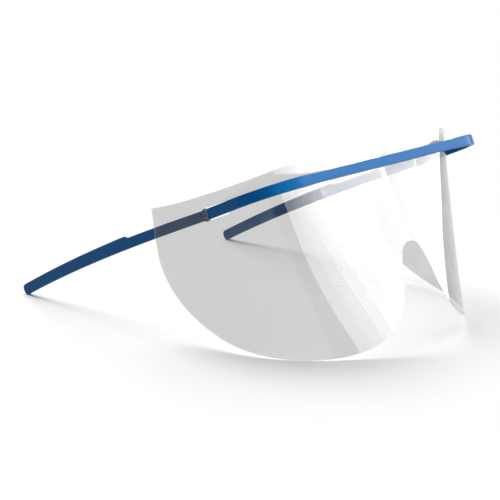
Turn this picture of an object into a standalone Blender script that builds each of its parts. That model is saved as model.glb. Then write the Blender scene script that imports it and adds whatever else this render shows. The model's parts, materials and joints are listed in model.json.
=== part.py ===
"""Disposable eye shield: a moulded brow bar, two folding temples on hinge pins, and one clear film.

Metres, +Z up. The wearer faces -Y, so +X is the wearer's left. Every piece is laid out in the frame
plane, whose origin is the middle of the brow bar: +X to the wearer's left, +Y back along the temples,
+Z up the film. An empty tips that plane back, as the shield stands on the film's lobes and the tips
of its temples.
"""

from math import asin, atan2, cos, pi, radians, sin

import bmesh
import bpy
import numpy as np
from mathutils import Matrix, Vector

MM = 0.001

# The shield as it stands
FRAME_PITCH = radians(25.13)

# Brow bar: a flat strip bent into a shallow U, its legs closing in towards the ears
BAR_HALF_WIDTH = 75.6 * MM
BAR_THICKNESS = 2.0 * MM
BAR_HEIGHT = 4.2 * MM
CORNER_HEIGHT = 4.65 * MM
LEG_HEIGHT = 4.5 * MM
CORNER_RADIUS = 19.5 * MM
CORNER_STEPS = 14
THICKER_FROM_X = 47 * MM
THICKER_AT_X = 54 * MM
LEG_TAPER = 0.0432
EDGE_ROUND = 0.35 * MM
SHARP_ANGLE = radians(40)
FLAT_ANGLE = radians(0.5)
WELD = 0.001 * MM

# Hinges, just behind the film's slots
HINGE_Y = 40 * MM
HINGE_INSET = 0.35 * MM
BARREL_RADIUS = 1.4 * MM
PIN_RADIUS = 0.6 * MM
PIN_HEAD_RADIUS = 1.05 * MM
PIN_HEAD_HEIGHT = 0.4 * MM
LUG_HOLE_RADIUS = 0.75 * MM
TONGUE_HOLE_RADIUS = 0.85 * MM
TONGUE_RADIUS = 1.3 * MM
TONGUE_NECK_HALF_WIDTH = 0.6 * MM
TONGUE_HEIGHT = 1.5 * MM
PLAY = 0.3 * MM
ROUND_STEPS = 28

# Temples
TEMPLE_TAPER = 0.0405
TEMPLE_START = 2.1 * MM
TEMPLE_LENGTH = 131 * MM
TEMPLE_THICKNESS = 2.0 * MM
TEMPLE_ROOT_HEIGHT = 4.35 * MM
TEMPLE_STEP_HEIGHT = 4.6 * MM
EAR_START = 52 * MM
EAR_RAMP = 1.4 * MM
EAR_HEIGHT = 5.7 * MM
TIP_HEIGHT = 4.9 * MM
TIP_CORNER_RADIUS = 1.9 * MM
TIP_CORNER_STEPS = 6
TEMPLE_RISE = 3.75 * MM
TEMPLE_SAG = 2.17 * MM
TEMPLE_DROP = 3.34 * MM
TEMPLE_STATIONS = 20

# Film: cut flat, then bent so that its upper rim and its lobes follow two headings
FILM_THICKNESS = 0.4 * MM
FILM_BEND_STATIONS = [0, 18, 36, 54, 72, 81, 90, 99, 108, 130]
FILM_RIM_HEADINGS = [0, 3, 10, 26, 50, 61, 77, 92, 93.5, 92.5]
FILM_LOBE_HEADINGS = [0, 18, 31, 42, 62, 75, 86, 91, 93, 93]
FILM_LOBE_DEPTH = 72 * MM
FILM_RIM_CENTRE_Y = 1.55 * MM
FILM_LOBE_CENTRE_Y = 3.0 * MM
FILM_RULING_STEP = 3.5 * MM
FILM_ROW_STEP = 10 * MM
FILM_TRACE_STEP = 0.25 * MM
FILM_CURVE_STEPS = 12
SLOT_HALF_LENGTH = 5.0 * MM
SLOT_HALF_HEIGHT = 2.75 * MM

# Half of the film's flat outline in mm: (point, handle before it, handle after it), clockwise from the
# middle of its upper rim, through the back corner and the lobe, to the top of the nose arch
FILM_OUTLINE = [
    ((0, 5.0), (-12, 5.0), (12, 5.0)),
    ((27, 10.3), (16, 10.3), (40, 10.3)),
    ((81, 7.5), (62, 7.5), (96, 7.5)),
    ((123, 10.6), (112, 9.0), (124, 4.0)),
    ((126, -9.5), (125.6, -4.0), (126.6, -41.5)),
    ((40, -73.6), (72, -73.6), (2.3, -73.6)),
    ((0, -35.2), (15.3, -35.2), (-15.3, -35.2)),
]

FRAME_BLUE = (0.010, 0.092, 0.245, 1)
FILM_CLEAR = (0.86, 0.87, 0.86, 1)


def clear_scene():
    """Starts from an empty scene."""
    for obj in list(bpy.data.objects):
        bpy.data.objects.remove(obj, do_unlink=True)


def new_collection(name):
    """A collection linked to the scene."""
    collection = bpy.data.collections.new(name)
    bpy.context.scene.collection.children.link(collection)
    return collection


def plastic(name, colour, roughness, alpha=1.0):
    """A moulded or sheet plastic."""
    material = bpy.data.materials.new(name)
    material.use_nodes = True
    shader = material.node_tree.nodes["Principled BSDF"]
    shader.inputs["Base Color"].default_value = colour
    shader.inputs["Roughness"].default_value = roughness
    shader.inputs["Metallic"].default_value = 0
    shader.inputs["Alpha"].default_value = alpha
    return material


def mesh_of_curve(curve_object, name):
    """The curve's filled and extruded shape as one welded mesh, with the curve removed."""
    bpy.context.view_layer.update()
    graph = bpy.context.evaluated_depsgraph_get()
    mesh = bpy.data.meshes.new_from_object(curve_object.evaluated_get(graph))
    mesh.name = name
    bpy.data.objects.remove(curve_object, do_unlink=True)
    bm = bmesh.new()
    bm.from_mesh(mesh)
    bmesh.ops.remove_doubles(bm, verts=bm.verts, dist=WELD)
    bmesh.ops.dissolve_limit(bm, angle_limit=FLAT_ANGLE, verts=bm.verts, edges=bm.edges)
    bmesh.ops.recalc_face_normals(bm, faces=bm.faces)
    bm.to_mesh(mesh)
    bm.free()
    return mesh


def flat_curve(name, half_thickness):
    """An empty 2D curve that fills its outlines and extrudes them to both sides."""
    data = bpy.data.curves.new(name, "CURVE")
    data.dimensions = "2D"
    data.fill_mode = "BOTH"
    data.extrude = half_thickness
    curve_object = bpy.data.objects.new(name, data)
    bpy.context.scene.collection.objects.link(curve_object)
    return curve_object


def add_polygon(data, points):
    """Adds a closed outline of straight sides to a 2D curve."""
    spline = data.splines.new("POLY")
    spline.points.add(len(points) - 1)
    for target, (x, y) in zip(spline.points, points):
        target.co = (x, y, 0, 1)
    spline.use_cyclic_u = True


def plate(name, points, thickness):
    """A flat plate of this outline, centred on its own XY plane."""
    curve_object = flat_curve(name, thickness / 2)
    add_polygon(curve_object.data, points)
    return mesh_of_curve(curve_object, name)


def add_object(name, mesh, collection, parent, material=None):
    """Puts a mesh in the scene, in the frame plane."""
    obj = bpy.data.objects.new(name, mesh)
    collection.objects.link(obj)
    obj.parent = parent
    if material:
        mesh.materials.append(material)
    return obj


def add_cylinder(name, radius, height, location, collection, parent):
    """An upright cylinder in the frame plane."""
    mesh = bpy.data.meshes.new(name)
    bm = bmesh.new()
    bmesh.ops.create_cone(
        bm, cap_ends=True, segments=ROUND_STEPS, radius1=radius, radius2=radius, depth=height
    )
    bm.to_mesh(mesh)
    bm.free()
    obj = add_object(name, mesh, collection, parent)
    obj.location = location
    return obj


def add_box(name, size, location, collection, parent):
    """A box in the frame plane."""
    mesh = bpy.data.meshes.new(name)
    bm = bmesh.new()
    bmesh.ops.create_cube(bm, size=1, matrix=Matrix.Diagonal((*size, 1)))
    bm.to_mesh(mesh)
    bm.free()
    obj = add_object(name, mesh, collection, parent)
    obj.location = location
    return obj


def helper(obj):
    """Marks a cutter, or a body that is joined to another."""
    obj.hide_render = True
    obj.display_type = "WIRE"
    return obj


def combine(obj, other, operation):
    """Joins another body to this one, or cuts it away."""
    modifier = obj.modifiers.new(f"{operation.lower()} {other.name}", "BOOLEAN")
    modifier.operation = operation
    modifier.solver = "EXACT"
    modifier.object = helper(other)


def round_edges(obj):
    """Takes the sharpness off a moulding's edges."""
    modifier = obj.modifiers.new("rounded edges", "BEVEL")
    modifier.width = EDGE_ROUND
    modifier.segments = 2
    modifier.limit_method = "ANGLE"
    modifier.angle_limit = SHARP_ANGLE


def score(bm, distance, normal):
    """Adds edges where the plane with this normal, at this distance from the origin, meets the mesh."""
    geometry = [*bm.verts, *bm.edges, *bm.faces]
    plane = {"plane_co": distance * Vector(normal), "plane_no": normal}
    bmesh.ops.bisect_plane(bm, geom=geometry, dist=WELD, **plane)


def shade(mesh):
    """Smooth on the round stretches, with crisp edges kept."""
    mesh.shade_smooth()
    mesh.set_sharp_from_angle(angle=SHARP_ANGLE)


def leg_x(y):
    """Distance of a leg's centre line from the middle, at this depth behind the bar."""
    return BAR_HALF_WIDTH - LEG_TAPER * y


def hinge_x():
    """Distance of a hinge's axis from the middle."""
    return leg_x(HINGE_Y) - HINGE_INSET


def bar_side(offset):
    """One face of the left half of the bar in plan, from the middle to the hinge, at this offset."""
    bend = CORNER_RADIUS + offset
    centre = Vector((leg_x(CORNER_RADIUS) - CORNER_RADIUS, CORNER_RADIUS))
    turn = pi / 2 + atan2(LEG_TAPER, 1)
    points = []
    for step in range(CORNER_STEPS + 1):
        angle = turn * step / CORNER_STEPS
        points.append((centre.x + bend * sin(angle), centre.y - bend * cos(angle)))
    points.append((leg_x(HINGE_Y) + offset, HINGE_Y))
    return points


def bar_outline():
    """The whole bar in plan, legs included."""
    outer = bar_side(BAR_THICKNESS / 2)
    inner = bar_side(-BAR_THICKNESS / 2)
    left = outer + inner[::-1]
    right = [(-x, y) for x, y in left[::-1]]
    return left + right


def bar_height(x, y):
    """The bar is a little deeper round its corners than across the brow or along its legs."""
    corner = np.interp(abs(x), [THICKER_FROM_X, THICKER_AT_X], [BAR_HEIGHT, CORNER_HEIGHT])
    return np.interp(y, [CORNER_RADIUS, HINGE_Y / 2 + CORNER_RADIUS / 2], [corner, LEG_HEIGHT])


def make_brow_bar(parts, cutters, frame, material):
    """The bar with its corners and legs, which end in forked hinge barrels."""
    mesh = plate("brow_bar", bar_outline(), BAR_HEIGHT)
    bm = bmesh.new()
    bm.from_mesh(mesh)
    for limit in (-THICKER_AT_X, -THICKER_FROM_X, THICKER_FROM_X, THICKER_AT_X):
        score(bm, limit, (1, 0, 0))
    for vert in bm.verts:
        vert.co.z *= bar_height(vert.co.x, vert.co.y) / BAR_HEIGHT
    bm.to_mesh(mesh)
    bm.free()
    bar = add_object("brow_bar", mesh, parts, frame, material)
    round_edges(bar)
    for side, word in ((1, "left"), (-1, "right")):
        axis = Vector((side * hinge_x(), HINGE_Y, 0))
        barrel = add_cylinder(f"barrel_{word}", BARREL_RADIUS, LEG_HEIGHT, axis, cutters, frame)
        combine(bar, barrel, "UNION")
        fork_depth = TONGUE_RADIUS + 2 * PLAY
        gap = (8 * BARREL_RADIUS, 2 * fork_depth, TONGUE_HEIGHT + 2 * PLAY)
        fork = add_box(f"fork_gap_{word}", gap, axis, cutters, frame)
        combine(bar, fork, "DIFFERENCE")
        hole = add_cylinder(
            f"lug_hole_{word}", LUG_HOLE_RADIUS, 2 * LEG_HEIGHT, axis, cutters, frame
        )
        combine(bar, hole, "DIFFERENCE")
    shade(mesh)
    return bar


def make_pin(word, side, parts, frame, material):
    """A headed hinge pin, turned about its own axis."""
    neck = LEG_HEIGHT / 2 + PLAY / 3
    top = neck + PIN_HEAD_HEIGHT
    profile = [
        (0, top),
        (PIN_HEAD_RADIUS, top),
        (PIN_HEAD_RADIUS, neck),
        (PIN_RADIUS, neck),
        (PIN_RADIUS, -neck),
        (PIN_HEAD_RADIUS, -neck),
        (PIN_HEAD_RADIUS, -top),
        (0, -top),
    ]
    name = f"hinge_pin_{word}"
    mesh = bpy.data.meshes.new(name)
    links = [(i, i + 1) for i in range(len(profile) - 1)]
    mesh.from_pydata([(x, 0, z) for x, z in profile], links, [])
    pin = add_object(name, mesh, parts, frame, material)
    pin.location = (side * hinge_x(), HINGE_Y, 0)
    turned = pin.modifiers.new("turned", "SCREW")
    turned.steps = ROUND_STEPS
    turned.render_steps = ROUND_STEPS
    turned.use_merge_vertices = True
    turned.merge_threshold = 0.01 * MM
    turned.use_smooth_shade = False
    return pin


def temple_middle(along):
    """Height of a temple's centre line, which rises a little and then bends down behind the ear."""
    t = along / TEMPLE_LENGTH
    return TEMPLE_RISE * t - TEMPLE_SAG * t**2 - TEMPLE_DROP * t**3


def temple_bottom(along):
    """Height of a temple's lower edge."""
    depth = np.interp(
        along,
        [0, EAR_START, TEMPLE_LENGTH],
        [TEMPLE_ROOT_HEIGHT, TEMPLE_STEP_HEIGHT, TIP_HEIGHT],
    )
    return temple_middle(along) - depth / 2


def temple_top(along):
    """Height of a temple's upper edge, which steps up at the ear section."""
    depth = np.interp(
        along,
        [0, EAR_START, EAR_START + EAR_RAMP, TEMPLE_LENGTH],
        [TEMPLE_ROOT_HEIGHT, TEMPLE_STEP_HEIGHT, EAR_HEIGHT, TIP_HEIGHT],
    )
    return temple_bottom(along) + depth


def temple_outline():
    """A temple from the side: along it, and up."""
    last = TEMPLE_LENGTH - TIP_CORNER_RADIUS
    stations = [*np.linspace(TEMPLE_START, last, TEMPLE_STATIONS), EAR_START, EAR_START + EAR_RAMP]
    stations = sorted(float(station) for station in stations)
    low = [(along, temple_bottom(along)) for along in stations]
    high = [(along, temple_top(along)) for along in stations]
    tip = []
    for centre_z, first in (
        (temple_bottom(last) + TIP_CORNER_RADIUS, -pi / 2),
        (temple_top(last) - TIP_CORNER_RADIUS, 0),
    ):
        for step in range(TIP_CORNER_STEPS + 1):
            angle = first + pi / 2 * step / TIP_CORNER_STEPS
            y = last + TIP_CORNER_RADIUS * cos(angle)
            tip.append((y, centre_z + TIP_CORNER_RADIUS * sin(angle)))
    return low[:-1] + tip + high[-2::-1]


def tongue_outline():
    """The hinge tongue in plan: a round eye and a neck that runs into the temple."""
    shoulder = asin(TONGUE_NECK_HALF_WIDTH / TONGUE_RADIUS)
    points = []
    for step in range(ROUND_STEPS + 1):
        angle = pi / 2 + shoulder + (2 * pi - 2 * shoulder) * step / ROUND_STEPS
        points.append((TONGUE_RADIUS * cos(angle), TONGUE_RADIUS * sin(angle)))
    neck_end = TEMPLE_START + BARREL_RADIUS
    return points + [(TONGUE_NECK_HALF_WIDTH, neck_end), (-TONGUE_NECK_HALF_WIDTH, neck_end)]


def make_temple(word, side, parts, cutters, frame, material):
    """A temple, with its origin on its hinge's axis."""
    name = f"temple_{word}"
    mesh = plate(name, temple_outline(), TEMPLE_THICKNESS)
    # The outline was drawn in X and Y: turn it to run along Y and up Z.
    mesh.transform(Matrix(((0, 0, 1, 0), (1, 0, 0, 0), (0, 1, 0, 0), (0, 0, 0, 1))))
    temple = add_object(name, mesh, parts, frame, material)
    temple.location = (side * hinge_x(), HINGE_Y, 0)
    temple.rotation_euler = (0, 0, side * atan2(TEMPLE_TAPER, 1))
    round_edges(temple)
    tongue = add_object(
        f"tongue_{word}", plate("tongue", tongue_outline(), TONGUE_HEIGHT), cutters, temple
    )
    combine(temple, tongue, "UNION")
    hole = add_cylinder(
        f"tongue_hole_{word}", TONGUE_HOLE_RADIUS, 2 * TONGUE_HEIGHT, (0, 0, 0), cutters, temple
    )
    combine(temple, hole, "DIFFERENCE")
    shade(mesh)
    return temple


def trace(headings, centre_y):
    """Runs along the sheet from its middle, and gives the length, x and y at each step."""
    last = FILM_BEND_STATIONS[-1] * MM
    length = np.arange(0, last + FILM_TRACE_STEP, FILM_TRACE_STEP)
    heading = np.radians(np.interp(length / MM, FILM_BEND_STATIONS, headings))
    middle = (heading[1:] + heading[:-1]) / 2
    x = np.concatenate([[0], np.cumsum(np.cos(middle)) * FILM_TRACE_STEP])
    y = centre_y + np.concatenate([[0], np.cumsum(np.sin(middle)) * FILM_TRACE_STEP])
    return length, x, y


def bend(point, rim, lobe):
    """Takes a point of the flat sheet (along, up) to the bent film."""
    along = abs(point.x)
    side = 1 if point.x >= 0 else -1
    down = -point.y / FILM_LOBE_DEPTH
    x, y = [
        (1 - down) * np.interp(along, rim[0], rim[i]) + down * np.interp(along, lobe[0], lobe[i])
        for i in (1, 2)
    ]
    return Vector((side * x, y, point.y))


def slot_centre(rim):
    """How far along the sheet the film meets the middle of a leg."""
    length, x, y = rim
    behind_corner = y > CORNER_RADIUS
    outside = x >= BAR_HALF_WIDTH - LEG_TAPER * y
    return float(length[behind_corner & outside][0])


def film_outline_points():
    """The film's whole flat outline: points with their handles, in metres."""
    right_half = [((-p[0], p[1]), (-b[0], b[1]), (-a[0], a[1])) for p, a, b in FILM_OUTLINE[1:-1]]
    whole = FILM_OUTLINE + right_half[::-1]
    return [[(x * MM, z * MM, 0) for x, z in row] for row in whole]


def flat_film(centre):
    """The die-cut sheet before it is bent, with its two slots, as one layer."""
    curve_object = flat_curve("visor_film", 0)
    curve_object.data.resolution_u = FILM_CURVE_STEPS
    spline = curve_object.data.splines.new("BEZIER")
    points = film_outline_points()
    spline.bezier_points.add(len(points) - 1)
    spline.use_cyclic_u = True
    for target, (point, before, after) in zip(spline.bezier_points, points):
        target.handle_left_type = "FREE"
        target.handle_right_type = "FREE"
        target.co = point
        target.handle_left = before
        target.handle_right = after
    for side in (1, -1):
        corners = []
        for dx, dz in ((-1, -1), (1, -1), (1, 1), (-1, 1)):
            x = side * centre + dx * SLOT_HALF_LENGTH
            corners.append((x, dz * SLOT_HALF_HEIGHT))
        add_polygon(curve_object.data, corners)
    return mesh_of_curve(curve_object, "visor_film")


def make_film(parts, frame, material):
    """The clear sheet, divided into small flat faces, bent round the frame, and given its thickness."""
    rim = trace(FILM_RIM_HEADINGS, FILM_RIM_CENTRE_Y)
    lobe = trace(FILM_LOBE_HEADINGS, FILM_LOBE_CENTRE_Y)
    mesh = flat_film(slot_centre(rim))
    bm = bmesh.new()
    bm.from_mesh(mesh)
    half_length = max(vert.co.x for vert in bm.verts)
    for step in range(int(half_length / FILM_RULING_STEP) + 1):
        for along in {step * FILM_RULING_STEP, -step * FILM_RULING_STEP}:
            score(bm, along, (1, 0, 0))
    for step in range(int(FILM_LOBE_DEPTH / FILM_ROW_STEP) + 1):
        score(bm, -step * FILM_ROW_STEP, (0, 1, 0))
    bmesh.ops.triangulate(bm, faces=bm.faces)
    for vert in bm.verts:
        vert.co = bend(vert.co, rim, lobe)
    bm.to_mesh(mesh)
    bm.free()
    shade(mesh)
    film = add_object("visor_film", mesh, parts, frame, material)
    shell = film.modifiers.new("thickness", "SOLIDIFY")
    shell.thickness = FILM_THICKNESS
    shell.offset = 0
    return film


def stand_on_origin(frame, pieces):
    """Moves the whole shield so that the bottom centre of its box is the origin."""
    bpy.context.view_layer.update()
    graph = bpy.context.evaluated_depsgraph_get()
    corners = []
    for piece in pieces:
        evaluated = piece.evaluated_get(graph)
        corners += [evaluated.matrix_world @ vert.co for vert in evaluated.data.vertices]
    low = [min(corner[i] for corner in corners) for i in range(3)]
    high = [max(corner[i] for corner in corners) for i in range(3)]
    frame.location.y -= (low[1] + high[1]) / 2
    frame.location.z -= low[2]


def main():
    clear_scene()
    parts = new_collection("eye_shield")
    cutters = new_collection("cutters")
    frame = bpy.data.objects.new("frame_plane", None)
    parts.objects.link(frame)
    frame.rotation_euler = (-FRAME_PITCH, 0, 0)
    blue = plastic("frame plastic", FRAME_BLUE, 0.3)
    clear = plastic("clear film", FILM_CLEAR, 0.05, alpha=0.3)
    pieces = [make_brow_bar(parts, cutters, frame, blue), make_film(parts, frame, clear)]
    for word, side in (("right", -1), ("left", 1)):
        pieces.append(make_temple(word, side, parts, cutters, frame, blue))
        pieces.append(make_pin(word, side, parts, frame, blue))
    stand_on_origin(frame, pieces)


main()
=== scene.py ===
"""Looks of the disposable eye shield: a blue moulded frame that holds one clear, die-cut film.

Metres, +Z up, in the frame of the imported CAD. Pieces are laid out in the frame plane: its origin is
the middle of the brow bar, +X runs to the wearer's left, +Y back along the temples, +Z up the film.
"""

import json
from math import asin, atan2, cos, pi, radians, sin

import bmesh
import bpy
import numpy as np
from mathutils import Matrix, Vector

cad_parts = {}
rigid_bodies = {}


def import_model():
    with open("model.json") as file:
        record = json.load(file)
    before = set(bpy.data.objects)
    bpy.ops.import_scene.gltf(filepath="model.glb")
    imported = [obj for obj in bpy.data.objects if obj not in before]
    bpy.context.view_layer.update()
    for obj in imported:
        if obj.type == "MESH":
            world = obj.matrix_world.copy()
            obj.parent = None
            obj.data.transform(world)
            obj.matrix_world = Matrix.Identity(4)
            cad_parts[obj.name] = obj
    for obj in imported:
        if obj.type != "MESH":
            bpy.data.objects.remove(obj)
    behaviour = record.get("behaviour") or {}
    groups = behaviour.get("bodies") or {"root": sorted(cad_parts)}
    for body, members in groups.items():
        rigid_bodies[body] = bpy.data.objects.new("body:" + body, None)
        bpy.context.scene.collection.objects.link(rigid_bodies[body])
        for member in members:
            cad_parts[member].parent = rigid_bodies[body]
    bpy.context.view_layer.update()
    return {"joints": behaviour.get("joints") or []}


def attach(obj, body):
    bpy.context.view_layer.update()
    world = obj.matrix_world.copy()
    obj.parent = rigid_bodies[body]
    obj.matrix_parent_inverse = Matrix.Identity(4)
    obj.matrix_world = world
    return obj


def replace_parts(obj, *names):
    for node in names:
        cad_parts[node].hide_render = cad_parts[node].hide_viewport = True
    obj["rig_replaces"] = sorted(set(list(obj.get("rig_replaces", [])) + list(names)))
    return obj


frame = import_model()

MM = 0.001
WELD = 0.001 * MM
PIN_WELD = 0.01 * MM

# Camera
CAMERA_AZIMUTH = radians(-48.75)
CAMERA_ELEVATION = radians(15.17)
CAMERA_ROLL = radians(0.69)
CAMERA_PLACE = (-616.7 * MM, -529.7 * MM, 244.2 * MM)
CAMERA_LENS = 133.7
CAMERA_SENSOR = 36.0

# Brow bar
BAR_HALF_WIDTH = 75.6 * MM
BAR_THICKNESS = 2.0 * MM
BAR_HEIGHT = 4.2 * MM
CORNER_HEIGHT = 4.65 * MM
LEG_HEIGHT = 4.5 * MM
CORNER_RADIUS = 19.5 * MM
CORNER_STEPS = 44
THICKER_FROM_X = 47 * MM
THICKER_AT_X = 54 * MM
LEG_TAPER = 0.0432
EDGE_ROUND = 0.38 * MM
EDGE_SEGMENTS = 4
SHARP_ANGLE = radians(40)
FLAT_ANGLE = radians(0.2)

# Hinges
HINGE_Y = 40 * MM
HINGE_INSET = 0.35 * MM
BARREL_RADIUS = 1.4 * MM
PIN_RADIUS = 0.6 * MM
PIN_HEAD_RADIUS = 1.05 * MM
PIN_HEAD_HEIGHT = 0.4 * MM
PIN_HEAD_GAP = 0.1 * MM
PIN_DOME_STEPS = 6
LUG_HOLE_RADIUS = 0.75 * MM
TONGUE_HOLE_RADIUS = 0.85 * MM
TONGUE_RADIUS = 1.3 * MM
TONGUE_NECK_HALF_WIDTH = 0.6 * MM
TONGUE_HEIGHT = 1.5 * MM
FORK_LENGTH = 8 * BARREL_RADIUS
PLAY = 0.3 * MM
ROUND_STEPS = 48

# Temples
TEMPLE_TAPER = 0.0405
TEMPLE_START = 2.1 * MM
TEMPLE_LENGTH = 130.9 * MM
TEMPLE_THICKNESS = 2.0 * MM
TEMPLE_ROOT_HEIGHT = 4.35 * MM
TEMPLE_STEP_HEIGHT = 4.6 * MM
EAR_START = 52 * MM
EAR_RAMP = 1.4 * MM
EAR_HEIGHT = 5.7 * MM
TIP_HEIGHT = 4.9 * MM
TIP_CORNER_RADIUS = 1.9 * MM
TIP_CORNER_STEPS = 12
TEMPLE_RISE = 3.75 * MM
TEMPLE_SAG = 2.17 * MM
TEMPLE_DROP = 3.34 * MM
TEMPLE_STATIONS = 40

# Film: cut flat, then bent. At these stations, in mm from its middle, its upper rim and its lobes turn
# to headings of their own, in degrees from straight across the brow
FILM_THICKNESS = 0.3 * MM
FILM_BEND_STATIONS = [0, 18, 36, 54, 72, 81, 90, 99, 108, 130]
FILM_RIM_HEADINGS = [0, 3, 10, 26, 50, 61, 77, 92, 93.5, 92.5]
FILM_LOBE_HEADINGS = [0, 18, 31, 42, 62, 75, 86, 91, 93, 93]
FILM_LOBE_DEPTH = 72 * MM
FILM_RIM_CENTRE_Y = 1.55 * MM
FILM_LOBE_CENTRE_Y = 3.0 * MM
FILM_TRACE_STEP = 0.25 * MM
FILM_BEND_BLEND = 4 * MM
FILM_RULING_STEP = 2.0 * MM
FILM_ROW_STEP = 4.0 * MM
FILM_CURVE_STEPS = 40
SLOT_HALF_LENGTH = 5.0 * MM
SLOT_HALF_HEIGHT = 2.75 * MM

# Blue plastic: its colours, roughness and gloss
BLUE_COLOURS = [(0.0008, 0.044, 0.14, 1), (0.0016, 0.054, 0.17, 1)]
BLUE_ROUGHNESS = (0.28, 0.31)
BLUE_GLOSS_TINT = (0.04, 0.5, 1.0, 1)
BLUE_INDEX = 1.2

# Clear film: what one face lets through, and what it mirrors head on and at a glance
FILM_TRANSMISSION = (0.775, 0.775, 0.768, 1)
FILM_MIRROR_HEAD_ON = 0.022
FILM_MIRROR_GAIN = 0.6
FILM_MIRROR_POWER = 5.0
FILM_ROUGHNESS = (0.03, 0.06)
FILM_RIPPLE_HEIGHT = 0.05 * MM
FILM_RIPPLE_STRENGTH = 0.6
FILM_DUST = (0.004, 0.016)
FILM_DUST_COLOUR = (0.86, 0.87, 0.85, 1)
FILM_EDGE_TRANSMISSION = (0.78, 0.79, 0.77, 1)
FILM_EDGE_WHITE = (0.82, 0.83, 0.80, 1)
FILM_EDGE_COVER = (0.30, 0.45)

# Floor and backdrop
FLOOR_COLOURS = [(0.86, 0.86, 0.86, 1), (0.87, 0.87, 0.87, 1)]
FLOOR_CELLS = 8
FLOOR_HALF_SIZE = 6
BACKDROP_DIRECTION = (0.30, 0.75, 0.55)
BACKDROP_FROM = (-0.5, 0.7)
BACKDROP_LEVELS = (0.08, 0.22)

# Far lamps: name, azimuth and elevation, strength, and width as seen from the shield, in degrees
SUNS = [("key", 95, 60, 1.8, 34), ("fill", 55, 56, 2.1, 60)]

# Light panels: the azimuths and elevations that they span, in degrees, and their radiance
PANEL_DISTANCE = 1.2
FILM_PANEL_ELEVATIONS = (-8, 42)
FILM_PANELS = [
    (-107, -99, 5.0),
    (-99, -91, 7.0),
    (-91, -83, 9.5),
    (-83, -73, 13.0),
    (-73, -40, 18.0),
    (-40, -28, 14.0),
    (-28, -14, 11.0),
    (-14, 16, 8.0),
]
FRAME_PANEL_ELEVATIONS = (0, 44)
FRAME_PANELS = [(-132, -92), (-92, -50), (-50, -8)]
FRAME_PANEL_RADIANCE = 5.0

# Half of the film's flat outline in mm: (point, handle before it, handle after it), clockwise from the
# middle of its upper rim, through the back corner and the lobe, to the top of the nose arch
FILM_OUTLINE = [
    ((0, 5.0), (-12, 5.0), (12, 5.0)),
    ((27, 10.3), (16, 10.3), (40, 10.3)),
    ((81, 7.5), (62, 7.5), (96, 7.5)),
    ((123, 10.6), (112, 9.0), (124, 4.0)),
    ((126, -9.5), (125.6, -4.0), (126.6, -41.5)),
    ((40, -73.5), (72, -73.5), (2.3, -73.5)),
    ((0, -35.2), (15.3, -35.2), (-15.3, -35.2)),
]


# ---------------------------------------------------------------------------------------------
# Materials


class Nodes:
    """A material's node tree, with short calls to add and link nodes."""

    def __init__(self, name):
        self.material = bpy.data.materials.new(name)
        self.material.use_nodes = True
        self.tree = self.material.node_tree
        self.tree.nodes.clear()
        self.output = self.add("ShaderNodeOutputMaterial")

    def add(self, kind, links=None, **values):
        """Adds a node. links maps inputs to what feeds them, and values are its own settings."""
        node = self.tree.nodes.new(kind)
        for name, value in values.items():
            setattr(node, name, value)
        for socket, source in (links or {}).items():
            if isinstance(source, bpy.types.NodeSocket):
                self.tree.links.new(source, node.inputs[socket])
            else:
                node.inputs[socket].default_value = source
        return node

    def math(self, operation, a, b):
        """A Math node's result."""
        return self.add("ShaderNodeMath", {0: a, 1: b}, operation=operation).outputs[0]

    def place(self):
        """The surface's own coordinates, in metres."""
        return self.add("ShaderNodeTexCoord").outputs["Object"]

    def noise(self, scale, detail, stretch=(1, 1, 1)):
        """Noise of this many cells a metre."""
        mapping = self.add("ShaderNodeMapping", {"Vector": self.place(), "Scale": stretch})
        return self.add(
            "ShaderNodeTexNoise", {"Vector": mapping.outputs[0], "Scale": scale, "Detail": detail}
        ).outputs["Fac"]

    def spread(self, value, low, high):
        """Maps 0.3 to 0.7, where most of a noise lies, to low and high."""
        links = {"Value": value, "From Min": 0.3, "From Max": 0.7, "To Min": low, "To Max": high}
        return self.add("ShaderNodeMapRange", links).outputs[0]

    def bump(self, height, distance, strength):
        """A Bump node's normal for this height in metres."""
        links = {"Height": height, "Distance": distance, "Strength": strength}
        return self.add("ShaderNodeBump", links).outputs[0]

    def mix(self, share, first, second):
        """A Mix Shader node that gives this share to the second of two shader nodes."""
        links = {0: share, 1: first.outputs[0], 2: second.outputs[0]}
        return self.add("ShaderNodeMixShader", links)

    def finish(self, shader):
        """Links the surface and gives the material."""
        self.tree.links.new(shader, self.output.inputs["Surface"])
        return self.material


def moulded_blue(name):
    """Satin tinted polymer: navy in the shade, azure where it mirrors a lamp."""
    n = Nodes(name)
    mottle = n.noise(260, 4)
    colour = n.add("ShaderNodeMix", {"Factor": mottle}, data_type="RGBA")
    colour.inputs["A"].default_value, colour.inputs["B"].default_value = BLUE_COLOURS
    flow = n.noise(420, 3, (1, 0.2, 1))
    links = {
        "Base Color": colour.outputs["Result"],
        "Roughness": n.spread(flow, *BLUE_ROUGHNESS),
        "Specular IOR Level": 1.0,
        "Specular Tint": BLUE_GLOSS_TINT,
        "IOR": BLUE_INDEX,
    }
    return n.finish(n.add("ShaderNodeBsdfPrincipled", links).outputs[0])


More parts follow.
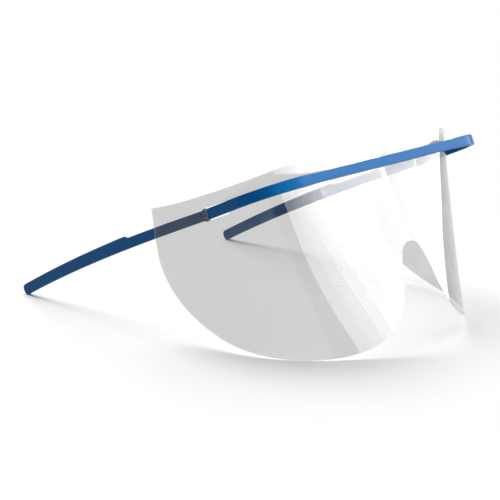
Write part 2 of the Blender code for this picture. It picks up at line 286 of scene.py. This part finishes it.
def clear_film():
    """Clear sheet: what is behind it shows a little greyer, under a nearly sharp reflection."""
    n = Nodes("clear film")
    clear = n.add("ShaderNodeBsdfTransparent", {"Color": FILM_TRANSMISSION})
    facing = n.add("ShaderNodeLayerWeight", {"Blend": 0.5}).outputs["Facing"]
    mirrored = n.math("MULTIPLY_ADD", n.math("POWER", facing, FILM_MIRROR_POWER), FILM_MIRROR_GAIN)
    mirrored.node.inputs[2].default_value = FILM_MIRROR_HEAD_ON
    smudge = n.spread(n.noise(45, 4), *FILM_ROUGHNESS)
    ripple = n.bump(n.noise(38, 1), FILM_RIPPLE_HEIGHT, FILM_RIPPLE_STRENGTH)
    links = {"Color": (1, 1, 1, 1), "Roughness": smudge, "Normal": ripple}
    gloss = n.add("ShaderNodeBsdfGlossy", links)
    sheet = n.mix(mirrored, clear, gloss)
    dust = n.spread(n.noise(110, 5), *FILM_DUST)
    haze = n.add("ShaderNodeBsdfDiffuse", {"Color": FILM_DUST_COLOUR})
    return n.finish(n.mix(dust, sheet, haze).outputs[0])


def film_edge():
    """The film's cut edge, which scatters light and so looks whiter than the sheet."""
    n = Nodes("cut film edge")
    clear = n.add("ShaderNodeBsdfTransparent", {"Color": FILM_EDGE_TRANSMISSION})
    grain = n.spread(n.noise(2500, 2), *FILM_EDGE_COVER)
    white = n.add("ShaderNodeBsdfPrincipled", {"Base Color": FILM_EDGE_WHITE, "Roughness": 0.35})
    return n.finish(n.mix(grain, clear, white).outputs[0])


def paper_white():
    """The studio floor."""
    n = Nodes("floor")
    shade = n.add("ShaderNodeMix", {"Factor": n.noise(3, 2)}, data_type="RGBA")
    shade.inputs["A"].default_value, shade.inputs["B"].default_value = FLOOR_COLOURS
    links = {"Base Color": shade.outputs["Result"], "Roughness": 0.9, "Specular IOR Level": 0.1}
    return n.finish(n.add("ShaderNodeBsdfPrincipled", links).outputs[0])


# ---------------------------------------------------------------------------------------------
# Mesh tools


def frame_plane():
    """The frame plane in the row frame, from the left hinge's axis."""
    left = next(joint for joint in frame["joints"] if joint["name"] == "left_temple_fold")
    up = Vector(left["axis"]).normalized()
    across = Vector((1, 0, 0))
    back = up.cross(across)
    origin = Vector(left["pos_m"]) - hinge_x() * across - HINGE_Y * back
    plane = Matrix((across, back, up)).transposed().to_4x4()
    plane.translation = origin
    return plane


def mesh_of_curve(curve_object, name):
    """The curve's filled and extruded shape as one welded mesh, with the curve removed."""
    bpy.context.view_layer.update()
    graph = bpy.context.evaluated_depsgraph_get()
    mesh = bpy.data.meshes.new_from_object(curve_object.evaluated_get(graph))
    mesh.name = name
    bpy.data.objects.remove(curve_object, do_unlink=True)
    bm = bmesh.new()
    bm.from_mesh(mesh)
    bmesh.ops.remove_doubles(bm, verts=bm.verts, dist=WELD)
    bmesh.ops.dissolve_limit(bm, angle_limit=FLAT_ANGLE, verts=bm.verts, edges=bm.edges)
    bmesh.ops.recalc_face_normals(bm, faces=bm.faces)
    bm.to_mesh(mesh)
    bm.free()
    return mesh


def flat_curve(name, half_thickness):
    """An empty 2D curve that fills its outlines and extrudes them to both sides."""
    data = bpy.data.curves.new(name, "CURVE")
    data.dimensions = "2D"
    data.fill_mode = "BOTH"
    data.extrude = half_thickness
    curve_object = bpy.data.objects.new(name, data)
    bpy.context.scene.collection.objects.link(curve_object)
    return curve_object


def add_polygon(data, points):
    """Adds a closed outline of straight sides to a 2D curve."""
    spline = data.splines.new("POLY")
    spline.points.add(len(points) - 1)
    for target, (x, y) in zip(spline.points, points):
        target.co = (x, y, 0, 1)
    spline.use_cyclic_u = True


def plate(name, points, thickness):
    """A flat plate of this outline, centred on its own XY plane."""
    curve_object = flat_curve(name, thickness / 2)
    add_polygon(curve_object.data, points)
    return mesh_of_curve(curve_object, name)


def add_object(name, mesh, place):
    """Puts a mesh in the scene at this place."""
    obj = bpy.data.objects.new(name, mesh)
    bpy.context.scene.collection.objects.link(obj)
    obj.matrix_world = place
    return obj


def add_cylinder(name, radius, height, place):
    """A cylinder along Z."""
    mesh = bpy.data.meshes.new(name)
    bm = bmesh.new()
    sizes = {"segments": ROUND_STEPS, "radius1": radius, "radius2": radius, "depth": height}
    bmesh.ops.create_cone(bm, cap_ends=True, **sizes)
    bm.to_mesh(mesh)
    bm.free()
    return add_object(name, mesh, place)


def add_box(name, size, place):
    """A box."""
    mesh = bpy.data.meshes.new(name)
    bm = bmesh.new()
    bmesh.ops.create_cube(bm, size=1, matrix=Matrix.Diagonal((*size, 1)))
    bm.to_mesh(mesh)
    bm.free()
    return add_object(name, mesh, place)


def score(bm, distance, normal):
    """Adds edges where the plane with this normal, at this distance from the origin, meets the mesh."""
    geometry = [*bm.verts, *bm.edges, *bm.faces]
    plane = {"plane_co": distance * Vector(normal), "plane_no": normal}
    bmesh.ops.bisect_plane(bm, geom=geometry, dist=WELD, **plane)


def round_edges(obj):
    """Takes the sharpness off a moulding's edges."""
    modifier = obj.modifiers.new("rounded edges", "BEVEL")
    modifier.width = EDGE_ROUND
    modifier.segments = EDGE_SEGMENTS
    modifier.limit_method = "ANGLE"
    modifier.angle_limit = SHARP_ANGLE


def combine(obj, other, operation):
    """Joins another body to this one, or cuts it away."""
    modifier = obj.modifiers.new(f"{operation.lower()} {other.name}", "BOOLEAN")
    modifier.operation = operation
    modifier.solver = "EXACT"
    modifier.object = other


def settle(obj, helpers=()):
    """Applies an object's modifiers and its place, shades it, and removes the bodies that it used."""
    bpy.context.view_layer.update()
    graph = bpy.context.evaluated_depsgraph_get()
    mesh = bpy.data.meshes.new_from_object(obj.evaluated_get(graph))
    obj.modifiers.clear()
    obj.data = mesh
    mesh.transform(obj.matrix_world)
    obj.matrix_world = Matrix.Identity(4)
    mesh.shade_smooth()
    mesh.set_sharp_from_angle(angle=SHARP_ANGLE)
    weighted = obj.modifiers.new("flat faces stay flat", "WEIGHTED_NORMAL")
    weighted.keep_sharp = True
    for helper in helpers:
        bpy.data.objects.remove(helper, do_unlink=True)


def show(obj, body, node, slot, *materials):
    """Makes a finished piece stand for its CAD node."""
    obj.data.materials.clear()
    for material in materials:
        obj.data.materials.append(material)
    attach(obj, body)
    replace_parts(obj, node)


# ---------------------------------------------------------------------------------------------
# Brow bar, hinge pins and temples


def leg_x(y):
    """Distance of a leg's centre line from the middle, at this depth behind the bar."""
    return BAR_HALF_WIDTH - LEG_TAPER * y


def hinge_x():
    """Distance of a hinge's axis from the middle."""
    return leg_x(HINGE_Y) - HINGE_INSET


def bar_side(offset):
    """One face of the left half of the bar in plan, from the middle to the hinge, at this offset."""
    bend_radius = CORNER_RADIUS + offset
    centre = Vector((leg_x(CORNER_RADIUS) - CORNER_RADIUS, CORNER_RADIUS))
    turn = pi / 2 + atan2(LEG_TAPER, 1)
    points = []
    for step in range(CORNER_STEPS + 1):
        angle = turn * step / CORNER_STEPS
        points.append((centre.x + bend_radius * sin(angle), centre.y - bend_radius * cos(angle)))
    points.append((leg_x(HINGE_Y) + offset, HINGE_Y))
    return points


def bar_outline():
    """The whole bar in plan, legs included."""
    left = bar_side(BAR_THICKNESS / 2) + bar_side(-BAR_THICKNESS / 2)[::-1]
    return left + [(-x, y) for x, y in left[::-1]]


def bar_height(x, y):
    """The bar is a little deeper round its corners than across the brow or along its legs."""
    corner = np.interp(abs(x), [THICKER_FROM_X, THICKER_AT_X], [BAR_HEIGHT, CORNER_HEIGHT])
    return np.interp(y, [CORNER_RADIUS, HINGE_Y / 2 + CORNER_RADIUS / 2], [corner, LEG_HEIGHT])


def make_brow_bar(plane, material):
    """The bar with its corners and legs, which end in forked hinge barrels."""
    mesh = plate("bar_moulding", bar_outline(), BAR_HEIGHT)
    bm = bmesh.new()
    bm.from_mesh(mesh)
    for limit in (-THICKER_AT_X, -THICKER_FROM_X, THICKER_FROM_X, THICKER_AT_X):
        score(bm, limit, (1, 0, 0))
    for vert in bm.verts:
        vert.co.z *= bar_height(vert.co.x, vert.co.y) / BAR_HEIGHT
    bm.to_mesh(mesh)
    bm.free()
    bar = add_object("bar_moulding", mesh, plane)
    round_edges(bar)
    helpers = []
    for side in (1, -1):
        axis = plane @ Matrix.Translation((side * hinge_x(), HINGE_Y, 0))
        barrel = add_cylinder(f"barrel_{side}", BARREL_RADIUS, LEG_HEIGHT, axis)
        combine(bar, barrel, "UNION")
        fork_depth = TONGUE_RADIUS + 2 * PLAY
        gap = (FORK_LENGTH, 2 * fork_depth, TONGUE_HEIGHT + 2 * PLAY)
        fork = add_box(f"fork_{side}", gap, axis)
        combine(bar, fork, "DIFFERENCE")
        hole = add_cylinder(f"hole_{side}", LUG_HOLE_RADIUS, 2 * LEG_HEIGHT, axis)
        combine(bar, hole, "DIFFERENCE")
        helpers += [barrel, fork, hole]
    settle(bar, helpers)
    show(bar, "front", "brow_bar", "frame_plastic", material)


def make_pin(word, side, plane, material):
    """A hinge pin with domed heads, turned about its own axis."""
    neck = LEG_HEIGHT / 2 + PIN_HEAD_GAP
    dome = []
    for step in range(PIN_DOME_STEPS + 1):
        angle = pi / 2 * step / PIN_DOME_STEPS
        dome.append((PIN_HEAD_RADIUS * sin(angle), neck + PIN_HEAD_HEIGHT * cos(angle)))
    top = dome + [(PIN_RADIUS, neck)]
    profile = top + [(x, -z) for x, z in top[::-1]]
    mesh = bpy.data.meshes.new(f"pin_{word}")
    links = [(i, i + 1) for i in range(len(profile) - 1)]
    mesh.from_pydata([(x, 0, z) for x, z in profile], links, [])
    pin = add_object(f"pin_{word}", mesh, plane @ Matrix.Translation((side * hinge_x(), HINGE_Y, 0)))
    turned = pin.modifiers.new("turned", "SCREW")
    turned.steps = ROUND_STEPS
    turned.render_steps = ROUND_STEPS
    turned.use_merge_vertices = True
    turned.merge_threshold = PIN_WELD
    settle(pin)
    show(pin, "front", f"hinge_pin_{word}", "pin_plastic", material)


def temple_middle(along):
    """Height of a temple's centre line, which rises a little and then bends down behind the ear."""
    t = along / TEMPLE_LENGTH
    return TEMPLE_RISE * t - TEMPLE_SAG * t**2 - TEMPLE_DROP * t**3


def temple_bottom(along):
    """Height of a temple's lower edge."""
    depth = np.interp(
        along,
        [0, EAR_START, TEMPLE_LENGTH],
        [TEMPLE_ROOT_HEIGHT, TEMPLE_STEP_HEIGHT, TIP_HEIGHT],
    )
    return temple_middle(along) - depth / 2


def temple_top(along):
    """Height of a temple's upper edge, which steps up at the ear section."""
    depth = np.interp(
        along,
        [0, EAR_START, EAR_START + EAR_RAMP, TEMPLE_LENGTH],
        [TEMPLE_ROOT_HEIGHT, TEMPLE_STEP_HEIGHT, EAR_HEIGHT, TIP_HEIGHT],
    )
    return temple_bottom(along) + depth


def temple_outline():
    """A temple from the side: along it, and up."""
    last = TEMPLE_LENGTH - TIP_CORNER_RADIUS
    stations = [*np.linspace(TEMPLE_START, last, TEMPLE_STATIONS), EAR_START, EAR_START + EAR_RAMP]
    stations = sorted(float(station) for station in stations)
    low = [(along, temple_bottom(along)) for along in stations]
    high = [(along, temple_top(along)) for along in stations]
    tip = []
    for centre_z, first in (
        (temple_bottom(last) + TIP_CORNER_RADIUS, -pi / 2),
        (temple_top(last) - TIP_CORNER_RADIUS, 0),
    ):
        for step in range(TIP_CORNER_STEPS + 1):
            angle = first + pi / 2 * step / TIP_CORNER_STEPS
            along = last + TIP_CORNER_RADIUS * cos(angle)
            tip.append((along, centre_z + TIP_CORNER_RADIUS * sin(angle)))
    return low[:-1] + tip + high[-2::-1]


def tongue_outline():
    """The hinge tongue in plan: a round eye and a neck that runs into the temple."""
    shoulder = asin(TONGUE_NECK_HALF_WIDTH / TONGUE_RADIUS)
    points = []
    for step in range(ROUND_STEPS + 1):
        angle = pi / 2 + shoulder + (2 * pi - 2 * shoulder) * step / ROUND_STEPS
        points.append((TONGUE_RADIUS * cos(angle), TONGUE_RADIUS * sin(angle)))
    neck_end = TEMPLE_START + BARREL_RADIUS
    return points + [(TONGUE_NECK_HALF_WIDTH, neck_end), (-TONGUE_NECK_HALF_WIDTH, neck_end)]


def make_temple(word, side, plane, material):
    """A temple with its hinge tongue."""
    name = f"temple_moulding_{word}"
    mesh = plate(name, temple_outline(), TEMPLE_THICKNESS)
    # The outline was drawn in X and Y: turn it to run along Y and up Z.
    mesh.transform(Matrix(((0, 0, 1, 0), (1, 0, 0, 0), (0, 1, 0, 0), (0, 0, 0, 1))))
    hinge = plane @ Matrix.Translation((side * hinge_x(), HINGE_Y, 0))
    place = hinge @ Matrix.Rotation(side * atan2(TEMPLE_TAPER, 1), 4, "Z")
    temple = add_object(name, mesh, place)
    round_edges(temple)
    tongue = add_object("tongue", plate("tongue", tongue_outline(), TONGUE_HEIGHT), place)
    combine(temple, tongue, "UNION")
    hole = add_cylinder("tongue_hole", TONGUE_HOLE_RADIUS, 2 * TONGUE_HEIGHT, place)
    combine(temple, hole, "DIFFERENCE")
    settle(temple, [tongue, hole])
    show(temple, f"{word}_temple", f"temple_{word}", "frame_plastic", material)


# ---------------------------------------------------------------------------------------------
# Film


def trace(headings, centre_y):
    """Runs along the sheet from its middle, and gives the length, x and y at each step."""
    last = FILM_BEND_STATIONS[-1] * MM
    half = int(FILM_BEND_BLEND / FILM_TRACE_STEP / 2)
    steps = np.arange(-2 * half, int(last / FILM_TRACE_STEP) + 2 * half + 1)
    rough = np.sign(steps) * np.interp(abs(steps) * FILM_TRACE_STEP / MM, FILM_BEND_STATIONS, headings)
    window = np.ones(2 * half + 1) / (2 * half + 1)
    heading = np.radians(np.convolve(np.convolve(rough, window, "valid"), window, "valid"))
    length = np.arange(len(heading)) * FILM_TRACE_STEP
    middle = (heading[1:] + heading[:-1]) / 2
    x = np.concatenate([[0], np.cumsum(np.cos(middle)) * FILM_TRACE_STEP])
    y = centre_y + np.concatenate([[0], np.cumsum(np.sin(middle)) * FILM_TRACE_STEP])
    return length, x, y


def bend(point, rim, lobe):
    """Takes a point of the flat sheet (along, up) to the bent film."""
    along = abs(point.x)
    side = 1 if point.x >= 0 else -1
    down = -point.y / FILM_LOBE_DEPTH
    x, y = [
        (1 - down) * np.interp(along, rim[0], rim[i]) + down * np.interp(along, lobe[0], lobe[i])
        for i in (1, 2)
    ]
    return Vector((side * x, y, point.y))


def slot_centre(rim):
    """How far along the sheet the film meets the middle of a leg."""
    length, x, y = rim
    behind_corner = y > CORNER_RADIUS
    outside = x >= BAR_HALF_WIDTH - LEG_TAPER * y
    return float(length[behind_corner & outside][0])


def film_outline_points():
    """The film's whole flat outline: points with their handles, in metres."""
    right_half = [((-p[0], p[1]), (-b[0], b[1]), (-a[0], a[1])) for p, a, b in FILM_OUTLINE[1:-1]]
    whole = FILM_OUTLINE + right_half[::-1]
    return [[(x * MM, z * MM, 0) for x, z in row] for row in whole]


def flat_film(centre):
    """The die-cut sheet before it is bent, with its two slots, as one layer."""
    curve_object = flat_curve("film_sheet", 0)
    curve_object.data.resolution_u = FILM_CURVE_STEPS
    spline = curve_object.data.splines.new("BEZIER")
    points = film_outline_points()
    spline.bezier_points.add(len(points) - 1)
    spline.use_cyclic_u = True
    for target, (point, before, after) in zip(spline.bezier_points, points):
        target.handle_left_type = "FREE"
        target.handle_right_type = "FREE"
        target.co = point
        target.handle_left = before
        target.handle_right = after
    for side in (1, -1):
        corners = []
        for dx, dz in ((-1, -1), (1, -1), (1, 1), (-1, 1)):
            corners.append((side * centre + dx * SLOT_HALF_LENGTH, dz * SLOT_HALF_HEIGHT))
        add_polygon(curve_object.data, corners)
    return mesh_of_curve(curve_object, "film_sheet")


def make_film(plane, sheet_material, edge_material):
    """The clear sheet, divided into small faces, bent round the frame, and given its thickness."""
    rim = trace(FILM_RIM_HEADINGS, FILM_RIM_CENTRE_Y)
    lobe = trace(FILM_LOBE_HEADINGS, FILM_LOBE_CENTRE_Y)
    mesh = flat_film(slot_centre(rim))
    bm = bmesh.new()
    bm.from_mesh(mesh)
    half_length = max(vert.co.x for vert in bm.verts)
    for step in range(int(half_length / FILM_RULING_STEP) + 1):
        for along in {step * FILM_RULING_STEP, -step * FILM_RULING_STEP}:
            score(bm, along, (1, 0, 0))
    for step in range(int(FILM_LOBE_DEPTH / FILM_ROW_STEP) + 1):
        score(bm, -step * FILM_ROW_STEP, (0, 1, 0))
    for vert in bm.verts:
        vert.co = bend(vert.co, rim, lobe)
    bm.to_mesh(mesh)
    bm.free()
    film = add_object("film_sheet", mesh, plane)
    shell = film.modifiers.new("thickness", "SOLIDIFY")
    shell.thickness = FILM_THICKNESS
    shell.offset = 0
    shell.material_offset_rim = 1
    mesh.materials.append(sheet_material)
    mesh.materials.append(edge_material)
    settle(film)
    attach(film, "front")
    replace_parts(film, "visor_film")


# ---------------------------------------------------------------------------------------------
# Studio


def make_camera():
    """The camera, low in front of the shield, on the wearer's right."""
    data = bpy.data.cameras.new("camera")
    data.lens = CAMERA_LENS
    data.sensor_width = CAMERA_SENSOR
    camera = bpy.data.objects.new("camera", data)
    bpy.context.scene.collection.objects.link(camera)
    camera.location = CAMERA_PLACE
    turn = Matrix.Rotation(CAMERA_AZIMUTH, 3, "Z") @ Matrix.Rotation(pi / 2 - CAMERA_ELEVATION, 3, "X")
    camera.rotation_euler = (turn @ Matrix.Rotation(CAMERA_ROLL, 3, "Z")).to_euler()
    bpy.context.scene.camera = camera


def direction(azimuth, elevation):
    """A unit vector, with the azimuth in degrees from +X towards +Y."""
    a, e = radians(azimuth), radians(elevation)
    return Vector((cos(a) * cos(e), sin(a) * cos(e), sin(e)))


def make_panel(name, azimuths, elevations, radiance, receivers):
    """A soft light panel that spans these azimuths and elevations, seen from the shield.

    It lights only the receivers, so that the floor stays even.
    """
    middle = direction(sum(azimuths) / 2, sum(elevations) / 2)
    width = 2 * PANEL_DISTANCE * np.tan(radians(azimuths[1] - azimuths[0]) / 2)
    height = 2 * PANEL_DISTANCE * np.tan(radians(elevations[1] - elevations[0]) / 2)
    data = bpy.data.lights.new(name, "AREA")
    data.shape = "RECTANGLE"
    data.size = width
    data.size_y = height
    data.energy = radiance * pi * width * height
    panel = bpy.data.objects.new(name, data)
    bpy.context.scene.collection.objects.link(panel)
    panel.location = middle * PANEL_DISTANCE
    panel.rotation_euler = middle.to_track_quat("Z", "Y").to_euler()
    panel.visible_camera = False
    panel.light_linking.receiver_collection = receivers


def make_sun(name, azimuth, elevation, strength, angle):
    """A large far lamp, for the soft shadow."""
    data = bpy.data.lights.new(name, "SUN")
    data.energy = strength
    data.angle = radians(angle)
    sun = bpy.data.objects.new(name, data)
    bpy.context.scene.collection.objects.link(sun)
    sun.rotation_euler = direction(azimuth, elevation).to_track_quat("Z", "Y").to_euler()


def make_world():
    """A backdrop, light grey to the camera and darker to every other ray, most so on the camera's side."""
    world = bpy.data.worlds.new("studio")
    bpy.context.scene.world = world
    world.use_nodes = True
    tree = world.node_tree
    tree.nodes.clear()
    output = tree.nodes.new("ShaderNodeOutputWorld")
    background = tree.nodes.new("ShaderNodeBackground")
    tree.links.new(background.outputs[0], output.inputs["Surface"])
    place = tree.nodes.new("ShaderNodeTexCoord")
    dot = tree.nodes.new("ShaderNodeVectorMath")
    dot.operation = "DOT_PRODUCT"
    dot.inputs[1].default_value = BACKDROP_DIRECTION
    tree.links.new(place.outputs["Generated"], dot.inputs[0])
    level = tree.nodes.new("ShaderNodeMapRange")
    level.interpolation_type = "SMOOTHSTEP"
    level.inputs["From Min"].default_value, level.inputs["From Max"].default_value = BACKDROP_FROM
    level.inputs["To Min"].default_value, level.inputs["To Max"].default_value = BACKDROP_LEVELS
    tree.links.new(dot.outputs["Value"], level.inputs["Value"])
    path = tree.nodes.new("ShaderNodeLightPath")
    seen = tree.nodes.new("ShaderNodeMath")
    seen.operation = "MAXIMUM"
    tree.links.new(level.outputs[0], seen.inputs[0])
    tree.links.new(path.outputs["Is Camera Ray"], seen.inputs[1])
    tree.links.new(seen.outputs[0], background.inputs["Strength"])


def make_floor():
    """A large white sheet of paper."""
    mesh = bpy.data.meshes.new("floor")
    bm = bmesh.new()
    bmesh.ops.create_grid(
        bm, x_segments=FLOOR_CELLS, y_segments=FLOOR_CELLS, size=FLOOR_HALF_SIZE
    )
    bm.to_mesh(mesh)
    bm.free()
    floor = add_object("floor", mesh, Matrix.Identity(4))
    mesh.materials.append(paper_white())


def main():
    """Builds the pieces, sorts them by what lights them, and builds the studio."""
    plane = frame_plane()
    frame_only = bpy.data.collections.new("frame_only")
    film_only = bpy.data.collections.new("film_only")
    blue = moulded_blue("frame plastic")
    make_brow_bar(plane, blue)
    for word, side in (("right", -1), ("left", 1)):
        make_temple(word, side, plane, blue)
        make_pin(word, side, plane, moulded_blue(f"pin plastic {word}"))
    make_film(plane, clear_film(), film_edge())
    for obj in list(bpy.context.scene.collection.objects):
        if obj.get("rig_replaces"):
            is_film = "visor_film" in obj["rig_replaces"]
            (film_only if is_film else frame_only).objects.link(obj)
    make_camera()
    make_floor()
    make_world()
    for sun in SUNS:
        make_sun(*sun)
    for number, (start, end, radiance) in enumerate(FILM_PANELS):
        name = f"film_panel_{number}"
        make_panel(name, (start, end), FILM_PANEL_ELEVATIONS, radiance, film_only)
    for number, span in enumerate(FRAME_PANELS):
        name = f"frame_panel_{number}"
        make_panel(name, span, FRAME_PANEL_ELEVATIONS, FRAME_PANEL_RADIANCE, frame_only)
    bpy.context.scene.view_settings.view_transform = "Standard"


main()
